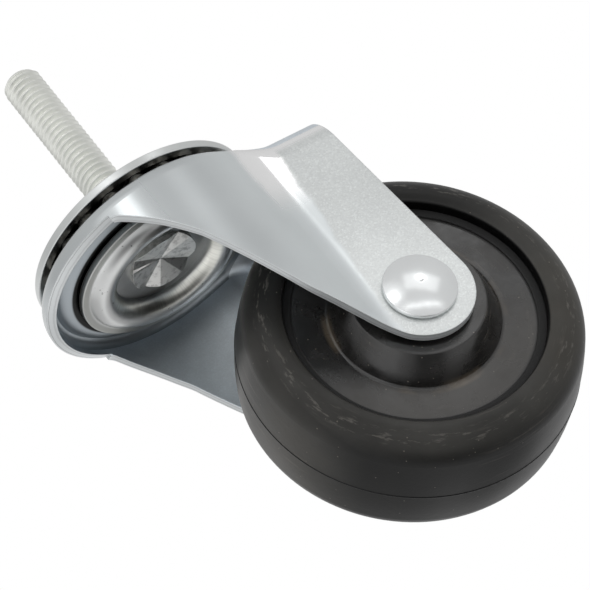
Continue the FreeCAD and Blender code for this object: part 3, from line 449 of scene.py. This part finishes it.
def dusted(tree, where, reach, turn, y, tone, dust, amount):
    """Faint rings and scuffs that follow the wheel's turn, and lone specks of dust."""
    ring = stretched(tree, (turn, 2.0), (reach, 900.0), (y, 900.0))
    scuffs = ramp(tree, noise(tree, ring, 1.3, 4.0, 0.6), ((0.58, 0.0), (0.72, 1.0)))
    worn = ramp(tree, noise(tree, where, 30.0), ((0.45, 0.0), (0.65, 1.0)))
    tone = blend(tree, product(tree, scuffs, worn, amount), tone, dust)
    specks = add(tree, "ShaderNodeTexVoronoi", {"Vector": where, "Scale": 620.0})
    lone = below(tree, specks.outputs["Distance"], 0.10)
    few = above(tree, split(tree, specks.outputs["Color"])[0], 0.66)
    return blend(tree, product(tree, lone, few, 0.7), tone, dust)


def tyre_rubber():
    """Tyre: matt black, lighter on the sides towards the bottom and at the front with dust and painted
    sheen, browned in patches, rubbed along the lip, with a fine parting line round the tread, and painted
    shade along its joint with the hub."""
    side_start, side_full = 11 * MM, 15 * MM
    front_dust_sheen_start, front_dust_sheen_full = 4 * MM, -5 * MM
    under_dust_sheen_start, under_dust_sheen_full = -38 * MM, -62 * MM
    lip_start, lip_end = 32.4 * MM, 34.2 * MM
    joint_shade_start, joint_shade_end = 28.3 * MM, 28.8 * MM
    line_low, line_high = -0.1 * MM, 0.22 * MM
    tread_start = 34 * MM

    material, tree, shader = new_material("tyre_rubber")
    where, reach, turn, y = polar(tree)
    x, _, z = split(tree, where)
    across = calc(tree, "ABSOLUTE", y)
    haze = noise(tree, where, 38.0, 5.0, 0.6)
    tone = ramp(tree, haze, ((0.3, (0.006, 0.006, 0.006)), (0.7, (0.016, 0.016, 0.015))))

    # Dust and painted sheen: lighter on the sides towards the bottom, and at the front.
    side = soft(tree, across, side_start, side_full)
    share = calc(tree, "MULTIPLY_ADD", soft(tree, z, under_dust_sheen_start, under_dust_sheen_full), 0.7, 0.2)
    dust_and_sheen = calc(tree, "MAXIMUM", product(tree, side, share), soft(tree, x, front_dust_sheen_start, front_dust_sheen_full))
    tone = blend(tree, dust_and_sheen, tone, cloudy(tree, where, (0.063, 0.061, 0.056), 0.35, 45.0))
    patches = ramp(tree, noise(tree, where, 24.0, 3.0), ((0.5, 0.0), (0.7, 1.0)))
    tone = blend(tree, product(tree, patches, 0.6, dust_and_sheen), tone, (0.060, 0.051, 0.037))

    lip = product(tree, band(tree, reach, lip_start, lip_end, 1.2 * MM), side)
    drawn = stretched(tree, (turn, 5.0), (reach, 700.0))
    rubbed = ramp(tree, noise(tree, drawn, 1.7, 4.0, 0.65), ((0.55, 0.0), (0.64, 1.0)))
    tone = blend(tree, product(tree, lip, rubbed, 0.6), tone, (0.17, 0.16, 0.145))
    tone = dusted(tree, where, reach, turn, y, tone, (0.20, 0.18, 0.155), 0.5)

    line = product(tree, band(tree, across, line_low, line_high, 0.1 * MM), above(tree, reach, tread_start))
    # Painted shade along the joint with the hub.
    joint = band(tree, reach, joint_shade_start, joint_shade_end, 0.25 * MM)
    tone = blend(tree, calc(tree, "MAXIMUM", line, joint), tone, JOINT_AND_SHADE_BLACK)
    surface(tree, shader, tone, vary(tree, haze, 0.2, 0.36), metallic=0.0, specular=0.25)
    bump(tree, shader, noise(tree, where, 1100.0, 3.0), 0.04 * MM, strength=0.5)
    return material


def hub_plastic():
    """Hub: black and glossier than the tyre, lighter on the web's lower half with dust and painted sheen,
    brownish round the boss's foot and black with painted shade where the tyre sits."""
    low_dust_sheen_start, low_dust_sheen_full = -62 * MM, -78 * MM
    web_start, web_end = 19.6 * MM, 26 * MM
    foot_start, foot_end = 18.9 * MM, 19.9 * MM
    seat_shade_start, seat_shade_end = 26.9 * MM, 29 * MM

    material, tree, shader = new_material("hub_plastic")
    where, reach, turn, y = polar(tree)
    haze = noise(tree, where, 60.0, 5.0, 0.6)
    tone = ramp(tree, haze, ((0.3, (0.008, 0.008, 0.008)), (0.7, (0.034, 0.032, 0.030))))
    # Dust and painted sheen: the web is lighter on its lower half.
    low = soft(tree, split(tree, where)[2], low_dust_sheen_start, low_dust_sheen_full)
    web = band(tree, reach, web_start, web_end, 0.6 * MM)
    tone = blend(tree, product(tree, low, web, 0.8), tone, (0.050, 0.046, 0.040))
    foot = band(tree, reach, foot_start, foot_end, 0.7 * MM)
    patches = ramp(tree, noise(tree, where, 90.0, 3.0), ((0.45, 0.0), (0.65, 1.0)))
    tone = blend(tree, product(tree, foot, patches, 0.7), tone, (0.17, 0.135, 0.095))
    tone = dusted(tree, where, reach, turn, y, tone, (0.22, 0.20, 0.17), 0.35)
    # Painted shade: black where the tyre sits on the hub.
    seat_shade = band(tree, reach, seat_shade_start, seat_shade_end, 0.7 * MM)
    tone = blend(tree, seat_shade, tone, JOINT_AND_SHADE_BLACK)
    smears = ramp(tree, noise(tree, where, 120.0, 4.0, 0.6), ((0.35, 0.15), (0.7, 0.38)))
    rough = choose(tree, seat_shade, split(tree, smears)[0], 0.8)
    surface(tree, shader, tone, rough, metallic=0.0, specular=0.85)
    bump(tree, shader, noise(tree, where, 700.0, 3.0), 0.03 * MM, strength=0.4, edge=0.2 * MM)
    return material


# Pieces

def paint(item, material):
    """Give the item this material alone."""
    item.data.materials.clear()
    item.data.materials.append(material)


def link_mesh(mesh, name):
    """Make an object of a mesh under work."""
    data = bpy.data.meshes.new(name)
    mesh.to_mesh(data)
    mesh.free()
    item = bpy.data.objects.new(name, data)
    scene.collection.objects.link(item)
    return item


def thread_radius(turns):
    """Radius of the thread after these turns' worth of pitch: rounded crests and roots."""
    wave = 0.5 - 0.5 * math.cos(2 * math.pi * turns)
    flank = 1 - abs(2 * (turns % 1) - 1)
    return STEM_RADIUS - THREAD_DEPTH * (wave + flank) / 2


def thread_line(angle_share, rows, turn_rows):
    """Radius and height of the points up one side of the stem. Rows under the mounting face lie on it,
    and rows past the tip lie on the tip."""
    line = []
    for row in range(-turn_rows, rows + turn_rows):
        z = THREAD_PITCH * (row / turn_rows + angle_share)
        radius = thread_radius(row / turn_rows)
        if z <= 0:
            z = 0
            radius = NECK_RADIUS
        z = min(z, STEM_LENGTH)
        line.append((min(radius, STEM_TIP_RADIUS + STEM_LENGTH - z), z))
    return line


def make_thread():
    """The stud with its helical thread above the mounting face, over the CAD shape below it."""
    columns = 72
    turn_rows = 12
    near = 0.01 * MM
    same_point = 0.002 * MM
    no_length = 0.001 * MM
    mesh = bmesh.new()
    mesh.from_mesh(nodes["threaded_stem"].data)
    upper = [face for face in mesh.faces if all(vert.co.z > -near for vert in face.verts)]
    bmesh.ops.delete(mesh, geom=upper, context="FACES")
    rows = math.ceil(STEM_LENGTH / THREAD_PITCH) * turn_rows + 1
    grid = []
    for column in range(columns):
        angle = 2 * math.pi * column / columns
        line = thread_line(column / columns, rows, turn_rows)
        grid.append([mesh.verts.new((radius * math.cos(angle), radius * math.sin(angle), z))
                     for radius, z in line])
    count = len(grid[0])
    for column in range(columns):
        # The last column meets the first one a turn further up
        following, shift = (column + 1, 0) if column + 1 < columns else (0, turn_rows)
        for row in range(count - 1 - shift):
            mesh.faces.new((grid[column][row], grid[following][row + shift],
                            grid[following][row + shift + 1], grid[column][row + 1]))
    bmesh.ops.remove_doubles(mesh, verts=mesh.verts, dist=same_point)
    bmesh.ops.dissolve_degenerate(mesh, edges=mesh.edges, dist=no_length)
    rim = [edge for edge in mesh.edges
           if edge.is_boundary and all(vert.co.z > STEM_LENGTH - near for vert in edge.verts)]
    bmesh.ops.contextual_create(mesh, geom=rim)
    stem = link_mesh(mesh, "stem_thread")
    for face in stem.data.polygons:
        face.use_smooth = face.center.z > 0 or face.use_smooth
    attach(stem, "stem_and_races")
    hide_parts("threaded_stem")
    paint(stem, stud_zinc())


def make_grease_shade_ring():
    """A thin dark ring between the plate and the crown, inside the upper ring of balls: grease, and painted
    shade that keeps light from showing through the gap.
    """
    radius = 19.2 * MM
    wall = 0.3 * MM
    around = 96
    low = CROWN_TOP + CLEARANCE
    high = PLATE_UNDERSIDE - CLEARANCE
    mesh = bmesh.new()
    circles = []
    for reach, z in ((radius, low), (radius, high), (radius - wall, high), (radius - wall, low)):
        angles = [2 * math.pi * step / around for step in range(around)]
        circles.append([mesh.verts.new((reach * math.cos(angle), reach * math.sin(angle), z))
                        for angle in angles])
    for first, second in zip(circles, circles[1:] + circles[:1]):
        for here in range(around):
            there = (here + 1) % around
            mesh.faces.new((first[here], first[there], second[there], second[here]))
    # A ring of grease and painted shade.
    grease = link_mesh(mesh, "grease_shade_ring")
    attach(grease, "stem_and_races")
    paint(grease, grease_shade_ring())


def paint_nodes():
    """Materials for the CAD pieces; the stud's goes on the thread that stands for it."""
    balls = ball_steel()
    for name, node in nodes.items():
        if "ball" in name:
            paint(node, balls)
    paint(nodes["fork"], fork_zinc())
    paint(nodes["top_race_plate"], zinc("race_zinc", (0.74, 0.76, 0.755), 0.30))
    paint(nodes["lower_race_cup"], cup_zinc())
    paint(nodes["axle_rivet"], zinc("rivet_zinc", (0.88, 0.90, 0.905), 0.22))
    paint(nodes["axle_sleeve"], tube_steel())
    paint(nodes["wheel_hub"], hub_plastic())
    paint(nodes["tyre"], tyre_rubber())


# Floor, light and camera

FLOOR_HALF = 1.2
FLOOR_GAP = 0.2 * MM

# The camera's directions and place, as fitted to the object's outlines in the photograph
CAMERA_RIGHT = Vector((0.8188964755, -0.0680096096, -0.5698975832))
CAMERA_UP = Vector((0.4292343823, -0.5865960030, 0.6867772378))
CAMERA_BACK = Vector((-0.3810070963, -0.8070190966, -0.4511693367))
CAMERA_PLACE = Vector((-0.18527965, -0.43405203, -0.27718091))
CAMERA_LENS = 148.0996
SENSOR_WIDTH = 36.0

# The room's grey level from one side to the other: the way it runs, and (position, level) pairs
ROOM_WAY = (0.1, -0.9, 0.4)
ROOM_LEVELS = ((0.0, 0.95), (0.22, 0.8), (0.42, 0.56), (0.68, 0.62), (1.0, 0.66))
ROOM_DARKEST = 0.03
MATT_LEVEL = 0.7
# Brighter and darker parts of the room: direction, cosines of the outer and inner edge, level added
WINDOWS = (
    ((-0.28, -0.85, 0.45), 0.986, 0.995, 1.1),
    ((0.46, -0.745, 0.485), 0.9945, 0.9975, 1.2),
    ((-0.34, -0.77, 0.54), 0.90, 0.985, 0.24),
    ((-0.95, -0.10, -0.31), 0.90, 0.98, 0.45),
    ((-0.72, -0.68, -0.14), 0.93, 0.985, 0.6),
    ((-0.25, -0.10, -0.96), 0.88, 0.98, -0.5),
    ((0.34, 0.80, -0.49), 0.955, 0.985, -0.5),
    ((-0.35, 0.90, -0.22), 0.86, 0.96, -0.42),
)
# A strip of light: its middle, the normal of its plane, half its width, cosine of its ends, level added
STRIP = ((0.1, -0.99, -0.09), (0.40, -0.05, 0.915), 0.05, 0.85, 1.2)


def make_floor():
    """A plain pale floor that mirrored rays and rays from below pass through."""
    material, tree, shader = new_material("floor")
    surface(tree, shader, (0.8, 0.8, 0.8), 0.8, metallic=0.0)
    behind = add(tree, "ShaderNodeNewGeometry").outputs["Backfacing"]
    mirrored = add(tree, "ShaderNodeLightPath").outputs["Is Glossy Ray"]
    unseen = calc(tree, "MAXIMUM", behind, mirrored)
    clear = add(tree, "ShaderNodeBsdfTransparent").outputs[0]
    mixed = add(tree, "ShaderNodeMixShader", {0: unseen, 1: shader.outputs[0], 2: clear})
    tree.links.new(mixed.outputs[0], tree.nodes["Material Output"].inputs["Surface"])
    level = cad_box[0][2] - FLOOR_GAP
    corners = [(-FLOOR_HALF, -FLOOR_HALF, level), (FLOOR_HALF, -FLOOR_HALF, level),
               (FLOOR_HALF, FLOOR_HALF, level), (-FLOOR_HALF, FLOOR_HALF, level)]
    mesh = bpy.data.meshes.new("floor")
    mesh.from_pydata(corners, [], [(0, 1, 2, 3)])
    mesh.materials.append(material)
    floor = bpy.data.objects.new("floor", mesh)
    scene.collection.objects.link(floor)


def make_world():
    """White to the camera and even for matt surfaces; mirrored rays see a grey room with its windows."""
    world = bpy.data.worlds.new("studio")
    scene.world = world
    world.use_nodes = True
    tree = world.node_tree
    direction = add(tree, "ShaderNodeTexCoord").outputs["Generated"]

    def facing(way):
        """Cosine of the angle between the ray and this way."""
        return add(tree, "ShaderNodeVectorMath", {0: direction, 1: tuple(Vector(way).normalized())},
                   operation="DOT_PRODUCT").outputs["Value"]

    share = calc(tree, "MULTIPLY_ADD", facing(ROOM_WAY), 0.5, 0.5)
    level = split(tree, ramp(tree, share, ROOM_LEVELS))[0]
    for way, outer, inner, strength in WINDOWS:
        level = calc(tree, "MULTIPLY_ADD", soft(tree, facing(way), outer, inner), strength, level)
    middle, across, half, end, strength = STRIP
    beside = soft(tree, calc(tree, "ABSOLUTE", facing(across)), half, half / 2)
    strip = product(tree, beside, soft(tree, facing(middle), end, end + 0.1))
    level = calc(tree, "MAXIMUM", calc(tree, "MULTIPLY_ADD", strip, strength, level), ROOM_DARKEST)

    path = add(tree, "ShaderNodeLightPath")
    mirrored = choose(tree, path.outputs["Is Glossy Ray"], MATT_LEVEL, level)
    seen = choose(tree, path.outputs["Is Camera Ray"], mirrored, 1.0)
    background = tree.nodes["Background"]
    plug(tree, background.inputs["Strength"], seen)
    plug(tree, background.inputs["Color"], (1.0, 1.0, 1.0))


def make_rivet_light():
    """A small lamp for the square glint on the rivet's head."""
    spot = Vector((0.0486, -0.0583, -0.0439))
    target = Vector((0.0322, -0.0255, -0.0599))
    lamp = bpy.data.lights.new("rivet_light", "AREA")
    lamp.shape = "RECTANGLE"
    lamp.size = 36 * MM
    lamp.size_y = 22 * MM
    lamp.energy = 0.0009
    item = bpy.data.objects.new("rivet_light", lamp)
    item.visible_camera = False
    scene.collection.objects.link(item)
    back = (spot - target).normalized()
    right = (CAMERA_RIGHT - back * CAMERA_RIGHT.dot(back)).normalized()
    turn = Matrix((right, back.cross(right), back)).transposed().to_4x4()
    item.matrix_world = Matrix.Translation(spot) @ turn


def make_camera():
    camera = bpy.data.cameras.new("camera")
    camera.sensor_width = SENSOR_WIDTH
    camera.lens = CAMERA_LENS
    camera.clip_start = 0.01
    camera.clip_end = 20.0
    item = bpy.data.objects.new("camera", camera)
    scene.collection.objects.link(item)
    turn = Matrix((CAMERA_RIGHT, CAMERA_UP, CAMERA_BACK)).transposed().to_4x4()
    item.matrix_world = Matrix.Translation(CAMERA_PLACE) @ turn
    scene.camera = item


paint_nodes()
make_thread()
make_grease_shade_ring()
make_floor()
make_world()
make_camera()
make_rivet_light()
scene.view_settings.view_transform = "Standard"
